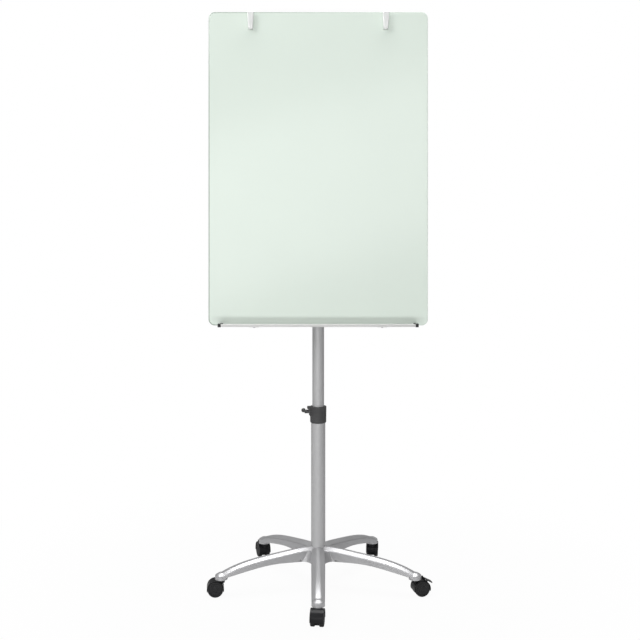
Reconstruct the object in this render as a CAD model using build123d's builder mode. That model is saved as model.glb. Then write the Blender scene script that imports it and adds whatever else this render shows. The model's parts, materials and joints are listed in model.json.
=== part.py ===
from build123d import *
from math import cos, radians, sin
import os

# Mobile glass flip chart easel, in millimetres.
# Origin: on the post axis at floor level. +X is the writer's right, -Y is the writing side, +Z is up.

# Writing board: tempered glass on a steel sheet, held by two rails on the rear
board_w = 700.0
board_h = 1000.0
board_low = 843.0
board_high = board_low + board_h
board_corner = 20.0
glass_t = 4.0
glass_front = -50.0
glass_back = glass_front + glass_t
bevel_w = 3.5
bevel_t = 0.8
sheet_inset = 5.0
sheet_t = 1.0
sheet_back = glass_back + sheet_t
rail_l = 520.0
rail_h = 40.0
rail_d = 15.0
rail_wall = 1.5
rail_back = sheet_back + rail_d
rail_levels = {"lower": 1100.0, "upper": 1600.0}

# Post: lower tube in the base, upper tube sliding and turning in it
lower_r = 23.0
upper_r = 19.0
tube_wall = 1.5
lower_low = 100.0
lower_high = 543.5
upper_low = 385.0
upper_high = 1650.0
running = 0.06
clear = 0.4

# Collar with its clamping lever, on the top of the lower tube
collar_low = 523.5
collar_high = 577.0
collar_r = 26.0
collar_flare = 0.7
bush_low = 486.0
bush_flange = 3.0
lever_z = 559.5
stud_r = 4.0
pad_r = 4.4
lug_x = -30.0
hub_r = 6.0
knob_r = 7.0
knob_at = (-48.4, 40.0, 556.0)

# Five-arm base
arms = 5
first_arm = -90.0
boss_circle = 320.0
boss_r = 20.0
boss_low = 52.0
boss_high = 72.3
hub_low = 84.0
hub_high = 121.0
casting_wall = 4.5
shoulder_drop = 7.0

# Castors: arm azimuth to trail azimuth, and which two have a brake
castor_trail = {270.0: 263.0, 342.0: 14.0, 54.0: 84.0, 126.0: 109.0, 198.0: 186.0}
braked_arms = (342.0, 126.0)
wheel_r = 24.5
wheel_w = 12.5
wheel_gap = 7.0
web_clear = 3.5
castor_w = 40.4
trail = 18.5
hood_r = 26.8
hood_wall = 1.6
hood_cut = 18.0
stem_r = 4.0
stem_fit = 0.05
housing_high = 51.5
axle_r = 3.0
pin_r = 1.25
pedal_w = 24.0
pedal_t = 2.5
pivot_r = 29.5
pivot_turn = 70.0
toe_r = 37.0
toe_turn = 25.0
finger_r = 28.2
finger_turn = 51.0
finger_y = 10.0

# Pen tray in front of the glass, on two brackets that pass under the board
tray_l = 607.0
tray_low = 846.5
tray_depth = 80.0
tray_wall = 2.0
lip_t = 4.0
lip_high = 855.3
tray_cap_w = 9.5
tray_cap_front = 15.0
bracket_x = 200.0
bracket_w = 30.0
bracket_t = 2.0
bracket_high = 888.0
tray_screw_r = 2.0
tray_screw_y = (-112.0, -70.0)
bracket_nut_z = (859.0, 877.0)

# Pad hooks over the top edge
hook_x = 215.0
strip_t = 2.0
strip_w = 15.0
hook_gap = 13.5
tongue_top_w = 19.7
tongue_low_w = 15.0
tongue_t = 4.0
tongue_low = 1785.0
tongue_high = 1841.6
rear_leg_low = 1796.5
screw_z = 1808.5
screw_r = 2.0
screw_knob_r = 8.0

# Fasteners
m5_r = 2.5
m5_head_r = 4.5
m5_head_h = 3.0
base_bolt_r = 5.0


upright = (Align.CENTER, Align.CENTER, Align.MIN)


def save(piece, name):
    piece.part.label = name
    export_step(piece.part, "parts/" + name + ".step")


os.makedirs("parts", exist_ok=True)

# ---------------------------------------------------------------- base casting

# Arm sections: radius, underside, ridge, foot width, ridge width
arm_stations = [
    (20.0, 86.0, 126.0, 44.0, 9.0),
    (60.0, 86.0, 124.5, 44.0, 9.0),
    (110.0, 87.0, 119.0, 44.0, 10.0),
    (160.0, 86.0, 112.5, 43.0, 11.0),
    (210.0, 79.5, 105.0, 42.0, 12.0),
    (260.0, 70.0, 94.0, 41.0, 13.0),
    (300.0, 61.5, 80.5, 40.0, 14.0),
    (318.0, 57.0, boss_high, 39.0, 15.0),
]


def arm_section(radius, low, high, foot_w, ridge_w, ridge_corner, shoulder_corner):
    """Section across an arm that runs along +X: upright walls, sloping shoulders and a narrow ridge."""
    with BuildSketch(Plane(origin=(radius, 0, 0), x_dir=(0, 1, 0), z_dir=(1, 0, 0))) as section:
        with BuildLine():
            Polyline(
                (-foot_w / 2, low),
                (foot_w / 2, low),
                (foot_w / 2 - 1, high - shoulder_drop),
                (ridge_w / 2, high),
                (-ridge_w / 2, high),
                (1 - foot_w / 2, high - shoulder_drop),
                close=True,
            )
        make_face()
        fillet(section.vertices().group_by(Axis.Y)[1], shoulder_corner)
        fillet(section.vertices().group_by(Axis.Y)[-1], ridge_corner)
    return section.sketch


with BuildPart() as arm:
    loft([arm_section(*station, ridge_corner=10.0, shoulder_corner=4.0) for station in arm_stations])

# The hollow under each arm stops short of the boss
hollow_stations = arm_stations[2:6] + [(288.0, 64.0, 84.0, 40.5, 14.0)]
with BuildPart() as arm_hollow:
    loft(
        [
            arm_section(r, low - 2, high - casting_wall, foot - 2 * casting_wall, ridge - 2, 5.0, 2.0)
            for r, low, high, foot, ridge in hollow_stations
        ]
    )

# Castor boss at the tip of an arm, with the same shoulders as the arm
with BuildPart() as boss:
    with BuildSketch(Plane.XZ) as boss_profile:
        with BuildLine():
            Polyline(
                (0, boss_low),
                (boss_r, boss_low),
                (boss_r - 0.7, boss_high - shoulder_drop),
                (8, boss_high),
                (0, boss_high),
                close=True,
            )
        make_face()
        fillet(boss_profile.vertices().filter_by(lambda v: v.X > 1 and v.Y > boss_low + 1), 4)
    revolve(axis=Axis.Z)

with BuildPart() as star_base:
    # Hub dome
    with BuildSketch(Plane.XZ):
        with BuildLine():
            Polyline(
                (0, hub_low),
                (43, hub_low),
                (45, hub_low + 3),
                (42, 104),
                (34, 113),
                (26, hub_high),
                (0, hub_high),
                close=True,
            )
        make_face()
    revolve(axis=Axis.Z)
    # Web with hollow corners between the arms
    with BuildSketch(Plane.XY.offset(hub_low + 2)) as web:
        with PolarLocations(0, arms, start_angle=first_arm):
            with Locations((48, 0)):
                Rectangle(96, 42)
        fillet(web.vertices().group_by(SortBy.DISTANCE)[0], 30)
    extrude(amount=30, taper=20)
    with PolarLocations(0, arms, start_angle=first_arm):
        add(arm.part)
    with PolarLocations(boss_circle, arms, start_angle=first_arm):
        add(boss.part)
    with PolarLocations(0, arms, start_angle=first_arm):
        add(arm_hollow.part, mode=Mode.SUBTRACT)
    # Sockets for the castor stems
    with PolarLocations(boss_circle, arms, start_angle=first_arm):
        with Locations((0, 0, boss_low)):
            Cylinder(5.5, 13.5, align=upright, mode=Mode.SUBTRACT)
    # Socket for the lower tube, bolt hole and recess for the bolt head
    with Locations((0, 0, lower_low)):
        Cylinder(lower_r, 60, align=upright, mode=Mode.SUBTRACT)
    with Locations((0, 0, hub_low)):
        Cylinder(base_bolt_r, 40, align=upright, mode=Mode.SUBTRACT)
        Cylinder(16, 10, align=upright, mode=Mode.SUBTRACT)
save(star_base, "star_base")

# ---------------------------------------------------------------- post

def ring(outer, inner, low):
    """Flat ring about the post axis, to be extruded upwards."""
    with BuildSketch(Plane.XY.offset(low)) as face:
        Circle(outer)
        Circle(inner, mode=Mode.SUBTRACT)
    return face.sketch


with BuildPart() as lower_tube:
    extrude(ring(lower_r, lower_r - tube_wall, lower_low), amount=lower_high - lower_low)
save(lower_tube, "lower_tube")

with BuildPart() as tube_plug:
    extrude(ring(lower_r - tube_wall, base_bolt_r, lower_low), amount=25)
save(tube_plug, "tube_plug")

with BuildPart() as base_washer:
    extrude(ring(12, base_bolt_r, hub_low + 8), amount=2)
save(base_washer, "base_washer")

with BuildPart() as base_bolt:
    with BuildSketch(Plane.XY.offset(hub_low + 1.5)):
        RegularPolygon(9.2, 6)
    extrude(amount=6.5)
    with Locations((0, 0, hub_low + 8)):
        Cylinder(base_bolt_r, 30, align=upright)
    chamfer(base_bolt.edges().sort_by(Axis.Z)[-1], 1)
save(base_bolt, "base_bolt")

with BuildPart() as guide_bush:
    with BuildSketch(Plane.XZ):
        with BuildLine():
            Polyline(
                (upper_r + running, bush_low),
                (lower_r - tube_wall, bush_low),
                (lower_r - tube_wall, lower_high),
                (lower_r, lower_high),
                (lower_r, lower_high + bush_flange),
                (upper_r + running, lower_high + bush_flange),
                close=True,
            )
        make_face()
    revolve(axis=Axis.Z)
save(guide_bush, "guide_bush")

with BuildPart() as clamp_collar:
    with BuildSketch(Plane.XZ) as collar_profile:
        with BuildLine():
            Polyline(
                (0, collar_low),
                (collar_r, collar_low),
                (collar_r + collar_flare, collar_high),
                (0, collar_high),
                close=True,
            )
        make_face()
        fillet(collar_profile.vertices().filter_by(lambda v: v.X > 1 and v.Y < collar_low + 1), 4)
        fillet(collar_profile.vertices().filter_by(lambda v: v.X > 1 and v.Y > collar_high - 1), 1.2)
    revolve(axis=Axis.Z)
    # Lug that shelters the lever's hub
    with BuildSketch(Plane.XZ):
        with BuildLine():
            Polyline(
                (-20, collar_high - 0.8),
                (-34.5, collar_high - 0.8),
                (-36, collar_high - 3),
                (-36, collar_high - 6.5),
                (lug_x, lever_z + hub_r + 0.8),
                (lug_x, lever_z - 9),
                (-20, lever_z - 20),
                close=True,
            )
        make_face()
    extrude(amount=9, both=True)
    fillet(clamp_collar.edges().filter_by(Axis.Z).group_by(Axis.X)[0], 2.5)
    # Bores for the two tubes, pocket for the pressure pad and thread for the stud
    with Locations((0, 0, collar_low - 1)):
        Cylinder(
            lower_r,
            lower_high + bush_flange - collar_low + 1,
            align=upright,
            mode=Mode.SUBTRACT,
        )
    with Locations((0, 0, lower_high)):
        Cylinder(upper_r + clear, 60, align=upright, mode=Mode.SUBTRACT)
    with Locations(Location((0, 0, lever_z), (0, -90, 0))):
        Cylinder(pad_r, 24.5, align=upright, mode=Mode.SUBTRACT)
        Cylinder(stud_r + running, 40, align=upright, mode=Mode.SUBTRACT)
save(clamp_collar, "clamp_collar")

with BuildPart() as pressure_pad:
    with Locations(Location((-upper_r - clear, 0, lever_z), (0, -90, 0))):
        Cylinder(pad_r, 4.9, align=upright)
save(pressure_pad, "pressure_pad")

with BuildPart() as lever_stud:
    with Locations(Location((-24.6, 0, lever_z), (0, -90, 0))):
        Cylinder(stud_r, 12.9, align=upright)
    chamfer(lever_stud.edges().group_by(Axis.X)[-1], 0.6)
save(lever_stud, "lever_stud")

hub_out = -44.5
arm_start = (-41.0, 0.0, lever_z)
with BuildPart() as clamp_lever:
    with Locations(Location((lug_x - 0.4, 0, lever_z), (0, -90, 0))):
        Cylinder(hub_r, lug_x - 0.4 - hub_out, align=upright)
    fillet(clamp_lever.edges().group_by(Axis.X)[0], 2)
    with BuildLine():
        Line(arm_start, knob_at)
    with BuildSketch(Plane(origin=arm_start, z_dir=Vector(*knob_at) - Vector(*arm_start))):
        Circle(4.2)
    sweep()
    with Locations(knob_at):
        Sphere(knob_r)
    with Locations(Location((-24.6, 0, lever_z), (0, -90, 0))):
        Cylinder(stud_r, 12.9, align=upright, mode=Mode.SUBTRACT)
save(clamp_lever, "clamp_lever")

with BuildPart() as glide_plug:
    with BuildSketch(Plane.XZ):
        with BuildLine():
            Polyline(
                (0, upper_low - 22),
                (20.0, upper_low - 22),
                (lower_r - tube_wall - running, upper_low - 20.5),
                (lower_r - tube_wall - running, upper_low - clear),
                (upper_r - tube_wall - clear, upper_low - clear),
                (upper_r - tube_wall - clear, upper_low + 20),
                (0, upper_low + 20),
                close=True,
            )
        make_face()
    revolve(axis=Axis.Z)
save(glide_plug, "glide_plug")

with BuildPart() as upper_tube:
    extrude(ring(upper_r, upper_r - tube_wall, upper_low), amount=upper_high - upper_low)
save(upper_tube, "upper_tube")

with BuildPart() as tube_cap:
    with Locations((0, 0, upper_high)):
        Cylinder(upper_r, 3, align=upright)
    fillet(tube_cap.edges().group_by(Axis.Z)[-1], 1.5)
    with Locations((0, 0, upper_high)):
        Cylinder(upper_r - tube_wall, 12, align=(Align.CENTER, Align.CENTER, Align.MAX))
save(tube_cap, "tube_cap")

# ---------------------------------------------------------------- board

board_mid = board_low + board_h / 2


def board_outline(depth, inset):
    """Rounded board outline, drawn on a plane across the Y axis."""
    with BuildSketch(Plane(origin=(0, depth, board_mid), x_dir=(1, 0, 0), z_dir=(0, -1, 0))) as outline:
        RectangleRounded(board_w - 2 * inset, board_h - 2 * inset, board_corner - inset)
    return outline.sketch


with BuildPart() as glass_panel:
    extrude(board_outline(glass_back, 0), amount=glass_t - bevel_t)
    loft([board_outline(glass_front + bevel_t, 0), board_outline(glass_front, bevel_w)])
save(glass_panel, "glass_panel")

with BuildPart() as backing_sheet:
    extrude(board_outline(sheet_back, sheet_inset), amount=sheet_t)
save(backing_sheet, "backing_sheet")

for level, rail_z in rail_levels.items():
    with BuildPart() as rail:
        with BuildSketch(Plane(origin=(0, sheet_back + rail_d / 2, rail_z), x_dir=(0, 1, 0), z_dir=(1, 0, 0))):
            RectangleRounded(rail_d, rail_h, 2)
            RectangleRounded(rail_d - 2 * rail_wall, rail_h - 2 * rail_wall, 1, mode=Mode.SUBTRACT)
        extrude(amount=rail_l / 2, both=True)
        with Locations(Location((0, rail_back, rail_z), (-90, 0, 0))):
            with GridLocations(94, 24, 2, 2):
                Cylinder(m5_r, 4, mode=Mode.SUBTRACT)
    save(rail, "rail_" + level)

with BuildPart() as rail_plugs:
    for rail_z in rail_levels.values():
        for side in (-1, 1):
            with Locations((side * (rail_l / 2 + 1), sheet_back + rail_d / 2, rail_z)):
                Box(2, rail_d, rail_h)
            with Locations((side * (rail_l / 2 - 4), sheet_back + rail_d / 2, rail_z)):
                Box(8, rail_d - 2 * rail_wall - 0.6, rail_h - 2 * rail_wall - 0.6)
save(rail_plugs, "rail_plugs")

saddle_plate_t = 4.0
saddle_half_w = 38.0
saddle_h = 30.0
strap_t = 3.0
strap_screw_x = 30.5
for level, rail_z in rail_levels.items():
    with BuildPart() as saddle:
        with Locations((0, rail_back, rail_z)):
            Box(110, saddle_plate_t, 40, align=(Align.CENTER, Align.MIN, Align.CENTER))
        fillet(saddle.edges().filter_by(Axis.Y), 6)
        with Locations((0, rail_back + saddle_plate_t, rail_z)):
            Box(
                2 * saddle_half_w,
                -rail_back - saddle_plate_t,
                saddle_h,
                align=(Align.CENTER, Align.MIN, Align.CENTER),
            )
        with Locations((0, 0, rail_z)):
            Cylinder(upper_r, 50, mode=Mode.SUBTRACT)
        with Locations(Location((0, rail_back, rail_z), (-90, 0, 0))):
            with GridLocations(94, 24, 2, 2):
                Cylinder(m5_r, 20, mode=Mode.SUBTRACT)
            with GridLocations(2 * strap_screw_x, 1, 2, 1):
                Cylinder(m5_r, 80, mode=Mode.SUBTRACT)
    save(saddle, "saddle_" + level)
    with BuildPart() as strap:
        with Locations((0, 0, rail_z)):
            Cylinder(upper_r + strap_t, saddle_h)
        with Locations((0, strap_t / 2, rail_z)):
            Box(2 * saddle_half_w, strap_t, saddle_h)
        with Locations((0, 0, rail_z)):
            Cylinder(upper_r, 50, mode=Mode.SUBTRACT)
            Box(100, 60, 60, align=(Align.CENTER, Align.MAX, Align.CENTER), mode=Mode.SUBTRACT)
        with Locations(Location((0, 0, rail_z), (-90, 0, 0))):
            with GridLocations(2 * strap_screw_x, 1, 2, 1):
                Cylinder(m5_r, 20, mode=Mode.SUBTRACT)
    save(strap, "strap_" + level)


def screw_group(name, level_points, head_y, shank_l):
    """Socket head screws whose heads sit on the plane y = head_y and point to -Y."""
    with BuildPart() as screws:
        for x, z in level_points:
            with Locations(Location((x, head_y, z), (-90, 0, 0))):
                Cylinder(m5_head_r, m5_head_h, align=upright)
                Cylinder(m5_r, shank_l, align=(Align.CENTER, Align.CENTER, Align.MAX))
            with Locations((x, head_y + m5_head_h, z)):
                with Locations(Location((0, 0, 0), (90, 0, 0))):
                    Cylinder(1.9, 3, mode=Mode.SUBTRACT)
    save(screws, name)


strap_points = [(side * strap_screw_x, z) for z in rail_levels.values() for side in (-1, 1)]
rail_points = [(i * 47, z + j * 12) for z in rail_levels.values() for i in (-1, 1) for j in (-1, 1)]
screw_group("strap_screws", strap_points, strap_t, 22)
screw_group("saddle_screws", rail_points, rail_back + saddle_plate_t, 9)

# ---------------------------------------------------------------- pen tray

tray_back = glass_front - 0.5
tray_front = glass_front - tray_depth
with BuildPart() as pen_tray:
    with BuildSketch(Plane.YZ) as tray_profile:
        with BuildLine():
            Polyline(
                (tray_back, tray_low),
                (tray_front, tray_low),
                (tray_front, lip_high),
                (tray_front + lip_t, lip_high),
                (tray_front + lip_t, tray_low + tray_wall),
                (tray_back, tray_low + tray_wall),
                close=True,
            )
        make_face()
        fillet(tray_profile.vertices().filter_by(lambda v: v.Y == lip_high), 1.9)
    extrude(amount=tray_l / 2, both=True)
    # Blind holes in the underside for the bracket screws
    with Locations(*[(x, y, tray_low) for x in (-bracket_x, bracket_x) for y in tray_screw_y]):
        Cylinder(tray_screw_r, 1.4, align=upright, mode=Mode.SUBTRACT)
save(pen_tray, "pen_tray")

bracket_front = tray_back - 70.0
under_glass = board_low - 0.3
rear_leg = sheet_back + 0.2
for side, end in ((-1, "left"), (1, "right")):
    with BuildPart() as tray_bracket:
        with BuildSketch(Plane(origin=(side * bracket_x, 0, 0), x_dir=(0, 1, 0), z_dir=(1, 0, 0))):
            with BuildLine():
                Polyline(
                    (bracket_front, tray_low - bracket_t),
                    (tray_back - 5, tray_low - bracket_t),
                    (tray_back - 3, under_glass - bracket_t),
                    (rear_leg + bracket_t, under_glass - bracket_t),
                    (rear_leg + bracket_t, bracket_high),
                    (rear_leg, bracket_high),
                    (rear_leg, under_glass),
                    (tray_back - 2, under_glass),
                    (tray_back - 4, tray_low),
                    (bracket_front, tray_low),
                    close=True,
                )
            make_face()
        extrude(amount=bracket_w / 2, both=True)
        fillet(tray_bracket.edges().filter_by(Axis.Y).group_by(Axis.Z)[-1], 5)
        with Locations(*[(side * bracket_x, y, tray_low) for y in tray_screw_y]):
            Cylinder(tray_screw_r, 3 * bracket_t, mode=Mode.SUBTRACT)
        with Locations(*[Location((side * bracket_x, rear_leg, z), (90, 0, 0)) for z in bracket_nut_z]):
            Cylinder(tray_screw_r, 3 * bracket_t, mode=Mode.SUBTRACT)
    save(tray_bracket, "tray_bracket_" + end)

# Screws under the tray, and nuts on the studs of the steel sheet behind the board
with BuildPart() as tray_fasteners:
    for x in (-bracket_x, bracket_x):
        for y in tray_screw_y:
            with Locations((x, y, tray_low - bracket_t)):
                Cylinder(tray_screw_r, bracket_t + 1.4, align=upright)
                Cylinder(3.5, 2, align=(Align.CENTER, Align.CENTER, Align.MAX))
        for z in bracket_nut_z:
            with Locations(Location((x, rear_leg + bracket_t, z), (-90, 0, 0))):
                Cylinder(tray_screw_r, 5, align=upright)
                Cylinder(tray_screw_r, bracket_t + 0.2, align=(Align.CENTER, Align.CENTER, Align.MAX))
            with BuildSketch(Plane(origin=(x, rear_leg + bracket_t, z), x_dir=(1, 0, 0), z_dir=(0, 1, 0))):
                RegularPolygon(4.0, 6)
            extrude(amount=3.2)
save(tray_fasteners, "tray_fasteners")

cap_d = tray_depth + 1.0
for side, name in ((-1, "tray_cap_left"), (1, "tray_cap_right")):
    near = side * tray_l / 2
    with BuildPart() as tray_cap:
        with Locations((near + side * tray_cap_w / 2, glass_front - 0.5, tray_low - 1)):
            Box(tray_cap_w, cap_d - 0.5, lip_high - tray_low + 2, align=(Align.CENTER, Align.MAX, Align.MIN))
        fillet(tray_cap.edges().filter_by(Axis.Z).sort_by(Axis.Y)[:2].sort_by(Axis.X)[-side], 5)
        fillet(tray_cap.faces().sort_by(Axis.Z)[-1].edges(), 1)
        with Locations((near + side * 2.5, glass_front - 4, tray_low + tray_wall)):
            Box(7, cap_d - 8.5, 30, align=(Align.CENTER, Align.MAX, Align.MIN), mode=Mode.SUBTRACT)
        # Full height at the lip only, low behind it
        with Locations((near, glass_front - cap_d + tray_cap_front, tray_low + 2 * tray_wall)):
            Box(40, cap_d, 30, align=(Align.CENTER, Align.MIN, Align.MIN), mode=Mode.SUBTRACT)
    save(tray_cap, name)

# ---------------------------------------------------------------- pad hooks

strip_front = glass_front - 0.5
rear_inner = sheet_back + 0.5
bridge_low = board_high + 0.3
floor_low = tongue_low + 2
tongue_back = strip_front - strip_t - hook_gap
for side, end in ((-1, "left"), (1, "right")):
    with BuildPart() as hook:
        with BuildSketch(Plane(origin=(side * hook_x, 0, 0), x_dir=(0, 1, 0), z_dir=(1, 0, 0))):
            with BuildLine():
                Polyline(
                    (rear_inner + strip_t, rear_leg_low),
                    (rear_inner + strip_t, bridge_low + strip_t),
                    (strip_front - strip_t, bridge_low + strip_t),
                    (strip_front - strip_t, floor_low + strip_t),
                    (tongue_back - 1, floor_low + strip_t),
                    (tongue_back - 1, floor_low),
                    (strip_front, floor_low),
                    (strip_front, bridge_low),
                    (rear_inner, bridge_low),
                    (rear_inner, rear_leg_low),
                    close=True,
                )
            make_face()
        extrude(amount=strip_w / 2, both=True)
        # Tongue: tapers downwards to a round end, domed on its face
        with BuildSketch(Plane(origin=(side * hook_x, tongue_back, 0), x_dir=(1, 0, 0), z_dir=(0, -1, 0))):
            with BuildLine():
                l1 = Line((-tongue_top_w / 2, tongue_high), (tongue_top_w / 2, tongue_high))
                l2 = Line(l1 @ 1, (tongue_top_w / 2, tongue_high - 22))
                l3 = Line(l2 @ 1, (tongue_low_w / 2, tongue_low + 7))
                l4 = ThreePointArc(l3 @ 1, (0, tongue_low), (-tongue_low_w / 2, tongue_low + 7))
                l5 = Line(l4 @ 1, (-tongue_top_w / 2, tongue_high - 22))
                Line(l5 @ 1, l1 @ 0)
            make_face()
        extrude(amount=tongue_t)
        fillet(hook.faces().sort_by(Axis.Y)[0].edges(), 2.4)
        # Threaded boss on the rear leg
        with Locations(Location((side * hook_x, rear_inner, screw_z), (-90, 0, 0))):
            Cylinder(5, 7, align=upright)
            Cylinder(screw_r + running, 30, mode=Mode.SUBTRACT)
    save(hook, "hook_" + end)
    with BuildPart() as thumb_screw:
        knob_start = rear_inner + 7.5
        with Locations(Location((side * hook_x, sheet_back + 0.3, screw_z), (-90, 0, 0))):
            Cylinder(screw_r, knob_start - sheet_back, align=upright)
        with BuildSketch(Plane(origin=(side * hook_x, knob_start, screw_z), x_dir=(1, 0, 0), z_dir=(0, 1, 0))):
            Circle(screw_knob_r)
            with PolarLocations(screw_knob_r + 0.7, 12):
                Circle(1.5, mode=Mode.SUBTRACT)
        extrude(amount=8)
        chamfer(thumb_screw.faces().sort_by(Axis.Y)[-1].edges().filter_by(GeomType.CIRCLE), 0.6)
    save(thumb_screw, "thumb_screw_" + end)

# ---------------------------------------------------------------- castors


def castor_frame(arm_azimuth, trail_azimuth):
    """Plane at floor level under the stem: +X is the trail direction, +Y the axle."""
    return Plane(
        origin=(boss_circle * cos(radians(arm_azimuth)), boss_circle * sin(radians(arm_azimuth)), 0),
        x_dir=(cos(radians(trail_azimuth)), sin(radians(trail_azimuth)), 0),
        z_dir=(0, 0, 1),
    )


def polar(radius, turn):
    """Point at a radius and an angle about the axle, in a castor's side plane."""
    return (trail + radius * cos(radians(turn)), wheel_r + radius * sin(radians(turn)))


wheel_mid = wheel_gap + wheel_w / 2

# Brake pedal: a plate hinged on the hood, with two fingers that reach down to the treads
pivot_at = polar(pivot_r, pivot_turn)
toe_at = polar(toe_r, toe_turn)
finger_at = polar(finger_r, finger_turn)
finger_tilt = 90 - finger_turn


def build_housing(frame, side_plane, braked, name):
    with BuildPart(frame) as housing:
        # Hood and web, one thick disc until the wheels' rooms are cut
        with BuildSketch(side_plane):
            with Locations((trail, wheel_r)):
                Circle(hood_r)
            with Locations((trail, hood_cut)):
                Rectangle(80, 40, align=(Align.CENTER, Align.MAX), mode=Mode.SUBTRACT)
        extrude(amount=castor_w / 2, both=True)
        # The web fills the gap between the wheels, nearly down to the floor
        with BuildSketch(side_plane):
            with Locations((trail, wheel_r)):
                Circle(wheel_r - web_clear)
        extrude(amount=wheel_gap - 0.4, both=True)
        # Stem socket and swivel head
        with Locations((0, 0, hood_cut + 2)):
            Cylinder(6.5, housing_high - hood_cut - 2, align=upright)
        with Locations((0, 0, 42)):
            Cylinder(11, housing_high - 42, align=upright)
        if braked:
            lug_y = pedal_w / 2 + 2
            for lug in (-lug_y, lug_y):
                with Locations(Location((pivot_at[0], lug, pivot_at[1]), (90, 0, 0))):
                    Cylinder(3, 3)
                with Locations((pivot_at[0], lug, pivot_at[1] - 2.5)):
                    Box(5, 3, 5)
        # Room for the wheels, the stem and the axle
        for wheel_side in (-1, 1):
            with Locations(Location((trail, wheel_side * (wheel_gap - 0.4 + 10), wheel_r), (90, 0, 0))):
                Cylinder(hood_r - hood_wall, 20, mode=Mode.SUBTRACT)
        with Locations((0, 0, 27)):
            Cylinder(stem_r + stem_fit, 40, align=upright, mode=Mode.SUBTRACT)
        with Locations(Location((trail, 0, wheel_r), (90, 0, 0))):
            Cylinder(axle_r, 40, mode=Mode.SUBTRACT)
        if braked:
            with Locations(Location((pivot_at[0], 0, pivot_at[1]), (90, 0, 0))):
                Cylinder(pin_r, 60, mode=Mode.SUBTRACT)
            # Slots for the two brake fingers
            for lug in (-1, 1):
                with Locations(Location((finger_at[0], lug * finger_y, finger_at[1]), (0, finger_tilt, 0))):
                    Box(8, 5, 8, mode=Mode.SUBTRACT)
    save(housing, name)


def build_wheel(frame, wheel_side, name):
    with BuildPart(frame) as wheel:
        with Locations(Location((trail, wheel_side * wheel_mid, wheel_r), (90, 0, 0))):
            Cylinder(wheel_r, wheel_w)
        fillet(wheel.edges().filter_by(GeomType.CIRCLE), 2.2)
        outer_face = Plane(
            origin=frame.from_local_coords((trail, wheel_side * (wheel_gap + wheel_w), wheel_r)),
            x_dir=frame.x_dir,
            z_dir=frame.y_dir * wheel_side,
        )
        with BuildSketch(outer_face):
            Circle(19)
            Circle(8, mode=Mode.SUBTRACT)
        extrude(amount=-1.2, mode=Mode.SUBTRACT)
        with Locations(Location((trail, 0, wheel_r), (-90 * wheel_side, 0, 0))):
            Cylinder(axle_r + running, wheel_gap + wheel_w - 2, align=upright, mode=Mode.SUBTRACT)
    save(wheel, name)


def build_axle(frame, name):
    with BuildPart(frame) as axle:
        with Locations(Location((trail, 0, wheel_r), (90, 0, 0))):
            Cylinder(axle_r, 2 * (wheel_gap + wheel_w - 2.6))
    save(axle, name)


def build_pedal(frame, side_plane, name):
    with BuildPart(frame) as pedal:
        with BuildSketch(side_plane):
            middle = (Vector(*pivot_at) + Vector(*toe_at)) / 2
            SlotCenterPoint((middle.X, middle.Y), toe_at, pedal_t)
            with Locations(pivot_at):
                Circle(2.3)
        extrude(amount=pedal_w / 2, both=True)
        with BuildSketch(side_plane):
            with Locations(toe_at):
                Circle(2)
        extrude(amount=pedal_w / 2 - 3, both=True)
        for finger_side in (-1, 1):
            with Locations(
                Location((finger_at[0], finger_side * finger_y, finger_at[1]), (0, finger_tilt, 0))
            ):
                Box(4, 3, 4)
        with Locations(Location((pivot_at[0], 0, pivot_at[1]), (90, 0, 0))):
            Cylinder(pin_r + running, 60, mode=Mode.SUBTRACT)
    save(pedal, name)


def build_pedal_pin(frame, name):
    with BuildPart(frame) as pin:
        with Locations(Location((pivot_at[0], 0, pivot_at[1]), (90, 0, 0))):
            Cylinder(pin_r, pedal_w + 7)
    save(pin, name)


with BuildPart() as castor_stems:
    with PolarLocations(boss_circle, arms, start_angle=first_arm):
        with Locations((0, 0, 27.5)):
            Cylinder(stem_r, 30, align=upright)
        with Locations((0, 0, boss_low)):
            Cylinder(5.5, 13.5, align=upright)
save(castor_stems, "castor_stems")

castor_names = {270.0: "front", 342.0: "right", 54.0: "rear_right", 126.0: "rear_left", 198.0: "left"}
for arm_azimuth, trail_azimuth in castor_trail.items():
    place = castor_names[arm_azimuth]
    frame = castor_frame(arm_azimuth, trail_azimuth)
    side_plane = Plane(origin=frame.origin, x_dir=frame.x_dir, z_dir=-frame.y_dir)
    braked = arm_azimuth in braked_arms
    build_housing(frame, side_plane, braked, "castor_" + place + "_housing")
    build_axle(frame, "castor_" + place + "_axle")
    build_wheel(frame, -1, "castor_" + place + "_wheel_a")
    build_wheel(frame, 1, "castor_" + place + "_wheel_b")
    if braked:
        build_pedal(frame, side_plane, "castor_" + place + "_pedal")
        build_pedal_pin(frame, "castor_" + place + "_pedal_pin")
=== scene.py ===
import json
import math

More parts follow.
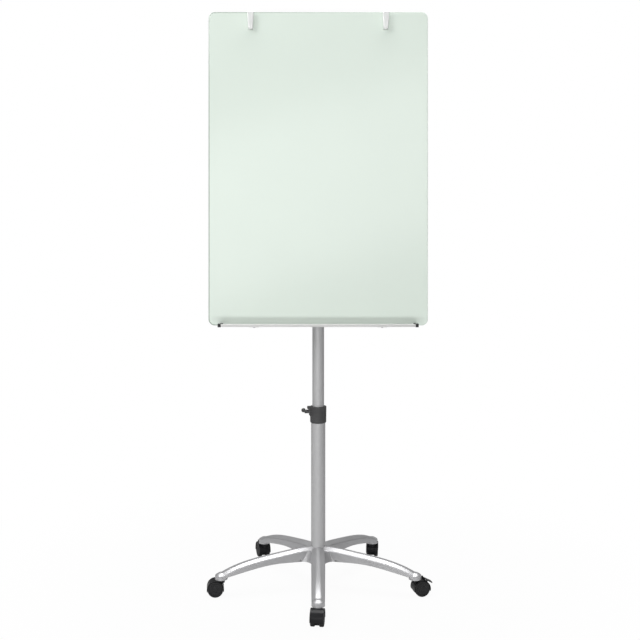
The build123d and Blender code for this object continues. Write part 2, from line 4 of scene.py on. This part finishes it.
import bmesh
import bpy
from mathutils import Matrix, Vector


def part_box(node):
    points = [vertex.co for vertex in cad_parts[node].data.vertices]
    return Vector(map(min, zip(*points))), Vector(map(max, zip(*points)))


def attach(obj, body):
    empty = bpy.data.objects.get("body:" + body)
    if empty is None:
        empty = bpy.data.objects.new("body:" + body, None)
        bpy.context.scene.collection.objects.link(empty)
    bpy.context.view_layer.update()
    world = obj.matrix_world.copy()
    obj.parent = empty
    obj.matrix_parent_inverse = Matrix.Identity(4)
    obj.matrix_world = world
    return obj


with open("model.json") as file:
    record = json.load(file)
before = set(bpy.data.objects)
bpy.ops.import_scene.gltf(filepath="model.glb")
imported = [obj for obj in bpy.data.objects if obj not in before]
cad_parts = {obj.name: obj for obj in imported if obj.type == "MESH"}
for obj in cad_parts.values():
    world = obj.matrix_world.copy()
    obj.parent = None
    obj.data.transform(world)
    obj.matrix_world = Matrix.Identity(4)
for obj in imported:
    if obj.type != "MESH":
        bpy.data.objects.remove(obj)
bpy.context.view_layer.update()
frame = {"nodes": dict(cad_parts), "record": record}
nodes = frame["nodes"]
scene = bpy.context.scene
scene.view_settings.view_transform = "Standard"

# How much of the floor's white is its own near the easel, against the light that falls on it
floor_white = 0.96
# Half the width of the board, and half the width over both wheels of a castor, in metres
board_half = 0.35
castor_half = 0.0195
# Sockets of a Mix node in colour mode, which share their names with those of its other modes
mix_a, mix_b, mix_result = 6, 7, 2


# ---------------------------------------------------------------- node helpers


def new_material(name):
    """An empty node material: its tree, its Principled shader and its object coordinates."""
    material = bpy.data.materials.new(name)
    material.use_nodes = True
    tree = material.node_tree
    shader = tree.nodes["Principled BSDF"]
    coords = tree.nodes.new("ShaderNodeTexCoord").outputs["Object"]
    return material, tree, shader, coords


def rounded_normal(tree, radius):
    """Normal that rounds off sharp edges over the given radius in metres."""
    node = tree.nodes.new("ShaderNodeBevel")
    node.samples = 6
    node.inputs["Radius"].default_value = radius
    return node.outputs["Normal"]


def noise(tree, coords, scale, detail=3.0, stretch=(1.0, 1.0, 1.0)):
    """Noise in metres-based object coordinates, stretched along an axis if asked."""
    mapping = tree.nodes.new("ShaderNodeMapping")
    mapping.inputs["Scale"].default_value = stretch
    tree.links.new(coords, mapping.inputs["Vector"])
    texture = tree.nodes.new("ShaderNodeTexNoise")
    texture.inputs["Scale"].default_value = scale
    texture.inputs["Detail"].default_value = detail
    tree.links.new(mapping.outputs["Vector"], texture.inputs["Vector"])
    return texture.outputs["Fac"]


def spread(tree, value, low, high):
    """Maps a noise value to the range low to high."""
    node = tree.nodes.new("ShaderNodeMapRange")
    node.inputs["From Min"].default_value = 0.3
    node.inputs["From Max"].default_value = 0.7
    node.inputs["To Min"].default_value = low
    node.inputs["To Max"].default_value = high
    tree.links.new(value, node.inputs["Value"])
    return node.outputs["Result"]


def tint(tree, shader, value, dark, light):
    """Base colour that runs from dark to light with a noise value."""
    ramp = tree.nodes.new("ShaderNodeValToRGB")
    ramp.color_ramp.elements[0].position = 0.35
    ramp.color_ramp.elements[0].color = (*dark, 1.0)
    ramp.color_ramp.elements[1].position = 0.65
    ramp.color_ramp.elements[1].color = (*light, 1.0)
    tree.links.new(value, ramp.inputs["Fac"])
    tree.links.new(ramp.outputs["Color"], shader.inputs["Base Color"])
    return ramp


def bump(tree, shader, value, distance, strength=1.0, edge_radius=0.0008):
    """Surface relief of the given depth in metres, on softened edges."""
    node = tree.nodes.new("ShaderNodeBump")
    tree.links.new(rounded_normal(tree, edge_radius), node.inputs["Normal"])
    node.inputs["Distance"].default_value = distance
    node.inputs["Strength"].default_value = strength
    tree.links.new(value, node.inputs["Height"])
    tree.links.new(node.outputs["Normal"], shader.inputs["Normal"])


def scaled(colour, factor):
    """The colour made darker or lighter by a factor."""
    return tuple(channel * factor for channel in colour)


# ---------------------------------------------------------------- materials


def painted(name, colour, metallic, roughness, grain=900.0, relief=0.00004):
    """Silver or grey paint: fine flake in the colour, orange peel in the relief."""
    material, tree, shader, coords = new_material(name)
    tint(tree, shader, noise(tree, coords, grain), scaled(colour, 0.95), scaled(colour, 1.05))
    shader.inputs["Metallic"].default_value = metallic
    patches = spread(tree, noise(tree, coords, 14.0, 2.0), roughness - 0.04, roughness + 0.04)
    tree.links.new(patches, shader.inputs["Roughness"])
    bump(tree, shader, noise(tree, coords, grain * 0.6), relief, 0.35)
    return material


def extruded(name, colour, roughness):
    """Anodised aluminium extrusion with its die lines along X."""
    material, tree, shader, coords = new_material(name)
    lines = noise(tree, coords, 900.0, 4.0, (0.01, 1.0, 1.0))
    tint(tree, shader, lines, scaled(colour, 0.94), scaled(colour, 1.04))
    shader.inputs["Metallic"].default_value = 0.75
    tree.links.new(spread(tree, lines, roughness - 0.05, roughness + 0.06), shader.inputs["Roughness"])
    bump(tree, shader, lines, 0.00003, 0.4)
    return material


def moulded(name, colour, roughness, shine=0.5, grain=1400.0):
    """Injection-moulded plastic with a fine spark-eroded grain."""
    material, tree, shader, coords = new_material(name)
    shader.inputs["Specular IOR Level"].default_value = shine
    tint(tree, shader, noise(tree, coords, 30.0, 2.0), scaled(colour, 0.88), scaled(colour, 1.12))
    tree.links.new(
        spread(tree, noise(tree, coords, 60.0), roughness - 0.05, roughness + 0.05),
        shader.inputs["Roughness"],
    )
    bump(tree, shader, noise(tree, coords, grain), 0.00006, 0.5)
    return material


def plated(name, colour, roughness, metallic=1.0):
    """Bright plated metal with faint polishing marks."""
    material, tree, shader, coords = new_material(name)
    marks = noise(tree, coords, 400.0, 3.0, (1.0, 1.0, 0.08))
    tint(tree, shader, marks, scaled(colour, 0.96), scaled(colour, 1.03))
    shader.inputs["Metallic"].default_value = metallic
    tree.links.new(spread(tree, marks, roughness - 0.03, roughness + 0.05), shader.inputs["Roughness"])
    bump(tree, shader, marks, 0.00001, 0.3)
    return material


def board_glass(name, face, edge_shade):
    """Back-painted glass: a glossy pale face, and a rim painted with shade that runs from dark on the
    left to pale on the right, a painted reflection.
    """
    material, tree, shader, coords = new_material(name)
    clouds = noise(tree, coords, 1.6, 2.0)
    face_ramp = tint(tree, shader, clouds, scaled(face, 0.985), scaled(face, 1.01))
    # The mask is 1 on faces that look along Y and 0 round the edge, where the painted shade goes
    geometry = tree.nodes.new("ShaderNodeNewGeometry")
    split = tree.nodes.new("ShaderNodeSeparateXYZ")
    tree.links.new(geometry.outputs["True Normal"], split.inputs["Vector"])
    flatness = tree.nodes.new("ShaderNodeMath")
    flatness.operation = "ABSOLUTE"
    tree.links.new(split.outputs["Y"], flatness.inputs[0])
    mask = tree.nodes.new("ShaderNodeMapRange")
    mask.inputs["From Min"].default_value = 0.990
    mask.inputs["From Max"].default_value = 0.999
    tree.links.new(flatness.outputs["Value"], mask.inputs["Value"])
    # Painted shade and painted reflection round the rim: dark at the left, running to the pale face
    # colour at the right
    edge_shade_ramp = tree.nodes.new("ShaderNodeValToRGB")
    left, right = edge_shade_ramp.color_ramp.elements
    left.color = (*edge_shade, 1.0)
    right.color = (*face, 1.0)
    place = tree.nodes.new("ShaderNodeSeparateXYZ")
    tree.links.new(coords, place.inputs["Vector"])
    along = tree.nodes.new("ShaderNodeMapRange")
    along.inputs["From Min"].default_value = -board_half
    along.inputs["From Max"].default_value = board_half
    tree.links.new(place.outputs["X"], along.inputs["Value"])
    tree.links.new(along.outputs["Result"], edge_shade_ramp.inputs["Fac"])
    mix = tree.nodes.new("ShaderNodeMix")
    mix.data_type = "RGBA"
    tree.links.new(edge_shade_ramp.outputs["Color"], mix.inputs[mix_a])
    tree.links.new(mask.outputs["Result"], mix.inputs["Factor"])
    tree.links.new(face_ramp.outputs["Color"], mix.inputs[mix_b])
    tree.links.new(mix.outputs[mix_result], shader.inputs["Base Color"])
    shader.inputs["Roughness"].default_value = 0.17
    shader.inputs["IOR"].default_value = 1.52
    return material


finishes = {
    # The second colour is painted shade for the left side of the glass rim
    "glass": board_glass("glass", (0.615, 0.685, 0.625), (0.33, 0.39, 0.34)),
    "backing_paint": painted("backing_paint", (0.62, 0.63, 0.63), 0.0, 0.45),
    "base_casting": painted("base_casting", (0.53, 0.53, 0.54), 0.70, 0.42, relief=0.00001),
    "tube_paint": painted("tube_paint", (0.50, 0.50, 0.505), 0.45, 0.48),
    "tray_aluminium": extruded("tray_aluminium", (0.65, 0.65, 0.64), 0.48),
    "hook_metal": plated("hook_metal", (0.76, 0.77, 0.76), 0.30, 0.35),
    "fastener_steel": plated("fastener_steel", (0.55, 0.55, 0.56), 0.30),
    "collar_plastic": moulded("collar_plastic", (0.045, 0.045, 0.046), 0.5),
    "black_plastic": moulded("black_plastic", (0.018, 0.018, 0.019), 0.42),
    "castor_plastic": moulded("castor_plastic", (0.006, 0.006, 0.007), 0.34, 0.3),
    "wheel_plastic": moulded("wheel_plastic", (0.012, 0.012, 0.013), 0.5, 0.35),
    "inner_plastic": moulded("inner_plastic", (0.68, 0.68, 0.64), 0.45),
}

slot_of = {part["node"]: part["material_slot"] for part in frame["record"]["subparts"]}
for name, node in nodes.items():
    node.data.materials.clear()
    node.data.materials.append(finishes[slot_of[name]])


# ---------------------------------------------------------------- wheel discs


def ring_points(mesh, radius, height, count):
    """A ring of vertices about +Z."""
    turns = [2 * math.pi * i / count for i in range(count)]
    return [mesh.verts.new((radius * math.cos(t), radius * math.sin(t), height)) for t in turns]


def bridge(mesh, inner, outer):
    """Faces between two rings with the same number of vertices."""
    count = len(inner)
    for i in range(count):
        mesh.faces.new((inner[i], outer[i], outer[(i + 1) % count], inner[(i + 1) % count]))


def wheel_disc(name, centre, axis, body):
    """Ribbed disc in the recess of a wheel's outer face, with a domed cap in the middle."""
    spokes = 12
    steps = 6
    sunk_steps = (2, 3, 4)
    sunk_depth = 0.0005
    # Radius and height of each ring of the disc, in metres, from the cap outwards
    cap = ((0.0015, 0.0013), (0.0045, 0.0011), (0.0070, 0.0004), (0.0086, -0.0002))
    ribs = ((0.0095, -0.0009), (0.0110, -0.0004), (0.0165, -0.0004), (0.0180, -0.0009))
    mesh = bmesh.new()
    rings = [ring_points(mesh, radius, height, spokes * steps) for radius, height in cap + ribs]
    for inner, outer in zip(rings, rings[1:]):
        bridge(mesh, inner, outer)
    mesh.faces.new(rings[0])
    # The two middle rings of the band sink between the spokes, which leaves the ribs standing
    band = len(cap)
    for ring in rings[band + 1:band + 3]:
        for i, vert in enumerate(ring):
            if i % steps in sunk_steps:
                vert.co.z -= sunk_depth
    data = bpy.data.meshes.new(name)
    mesh.to_mesh(data)
    mesh.free()
    data.shade_smooth()
    data.materials.append(finishes["wheel_plastic"])
    disc = bpy.data.objects.new(name, data)
    disc.rotation_euler = Vector(axis).to_track_quat("Z", "X").to_euler()
    disc.location = centre
    scene.collection.objects.link(disc)
    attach(disc, body)


for joint in frame["record"]["behaviour"]["joints"]:
    if not joint["name"].endswith("_roll"):
        continue
    body = joint["child"]
    pivot = Vector(joint["pos_m"])
    low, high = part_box(body)
    middle = (Vector(low) + Vector(high)) / 2
    outward = Vector(joint["axis"]).normalized()
    if outward.dot(middle - pivot) < 0:
        outward.negate()
    wheel_disc(body + "_disc", pivot + outward * castor_half, outward, body)

# ---------------------------------------------------------------- stage


def make_floor():
    """A white round floor: plain white to the eye, a diffuse surface to the light."""
    bpy.ops.mesh.primitive_circle_add(vertices=96, radius=6.0, fill_type="NGON", location=(0, 0, 0))
    floor = bpy.context.object
    floor.name = "stage_floor"
    material, tree, shader, coords = new_material("stage_floor")
    tint(tree, shader, noise(tree, coords, 3.0), (0.53, 0.53, 0.53), (0.57, 0.57, 0.57))
    shader.inputs["Roughness"].default_value = 0.9
    shader.inputs["Specular IOR Level"].default_value = 0.1
    length = tree.nodes.new("ShaderNodeVectorMath")
    length.operation = "LENGTH"
    tree.links.new(coords, length.inputs[0])
    far = tree.nodes.new("ShaderNodeMapRange")
    far.interpolation_type = "SMOOTHSTEP"
    far.inputs["From Min"].default_value = 0.3
    far.inputs["From Max"].default_value = 1.4
    far.inputs["To Min"].default_value = floor_white
    tree.links.new(length.outputs["Value"], far.inputs["Value"])
    glow = tree.nodes.new("ShaderNodeEmission")
    path = tree.nodes.new("ShaderNodeLightPath")
    seen = tree.nodes.new("ShaderNodeMath")
    seen.operation = "MULTIPLY"
    tree.links.new(path.outputs["Is Camera Ray"], seen.inputs[0])
    tree.links.new(far.outputs["Result"], seen.inputs[1])
    mix = tree.nodes.new("ShaderNodeMixShader")
    tree.links.new(seen.outputs["Value"], mix.inputs["Fac"])
    tree.links.new(shader.outputs["BSDF"], mix.inputs[1])
    tree.links.new(glow.outputs["Emission"], mix.inputs[2])
    tree.links.new(mix.outputs["Shader"], tree.nodes["Material Output"].inputs["Surface"])
    floor.data.materials.append(material)


def make_world(seen, lit):
    """A white studio: plain white to the eye, softer as a light."""
    world = bpy.data.worlds.new("studio")
    world.use_nodes = True
    tree = world.node_tree
    background = tree.nodes["Background"]
    background.inputs["Color"].default_value = (1.0, 1.0, 1.0, 1.0)
    path = tree.nodes.new("ShaderNodeLightPath")
    strength = tree.nodes.new("ShaderNodeMapRange")
    strength.inputs["To Min"].default_value = lit
    strength.inputs["To Max"].default_value = seen
    tree.links.new(path.outputs["Is Camera Ray"], strength.inputs["Value"])
    tree.links.new(strength.outputs["Result"], background.inputs["Strength"])
    scene.world = world


def area_light(name, place, target, size, power):
    """A rectangular light, unseen by the camera, aimed at a target; the power is in watts."""
    light = bpy.data.lights.new(name, "AREA")
    light.shape = "RECTANGLE"
    light.size, light.size_y = size
    light.energy = power
    lamp = bpy.data.objects.new(name, light)
    lamp.location = place
    lamp.rotation_euler = (Vector(target) - Vector(place)).to_track_quat("-Z", "Y").to_euler()
    lamp.visible_camera = False
    scene.collection.objects.link(lamp)
    return lamp


def make_camera():
    """Level camera, square to the board, with the horizon above the middle of the frame."""
    focal_px, frame_px = 998.0, 640.0
    data = bpy.data.cameras.new("camera")
    data.sensor_width = 36.0
    data.lens = focal_px / frame_px * data.sensor_width
    data.shift_x = 0.0028
    data.shift_y = -0.15
    data.clip_start, data.clip_end = 0.05, 200.0
    camera = bpy.data.objects.new("camera", data)
    camera.location = (0.0, -3.234, 1.1668)
    camera.rotation_euler = (math.radians(90), 0, 0)
    scene.collection.objects.link(camera)
    scene.camera = camera


make_floor()
make_world(seen=1.0, lit=0.195)
area_light("key", place=(-2.4, -2.6, 3.0), target=(0, 0, 1.0), size=(1.6, 1.6), power=66)
area_light("top", place=(0.0, 0.3, 3.4), target=(0, 0, 0.2), size=(2.6, 2.2), power=110)
# Low and wide: it throws the tray's shadow up the glass
low_front = area_light(
    "low_front", place=(0.0, -3.6, 0.22), target=(0, 0, 1.0), size=(2.6, 0.36), power=50
)
low_front.visible_glossy = False
# The light whose reflection crosses the board on a slant
slant_tilt = math.radians(16.7)
slant = area_light("slant", place=(0.0, -5.0, 1.47), target=(0, 0, 1.47), size=(5.5, 1.35), power=46)
slant.rotation_euler.rotate_axis("Z", slant_tilt)
make_camera()
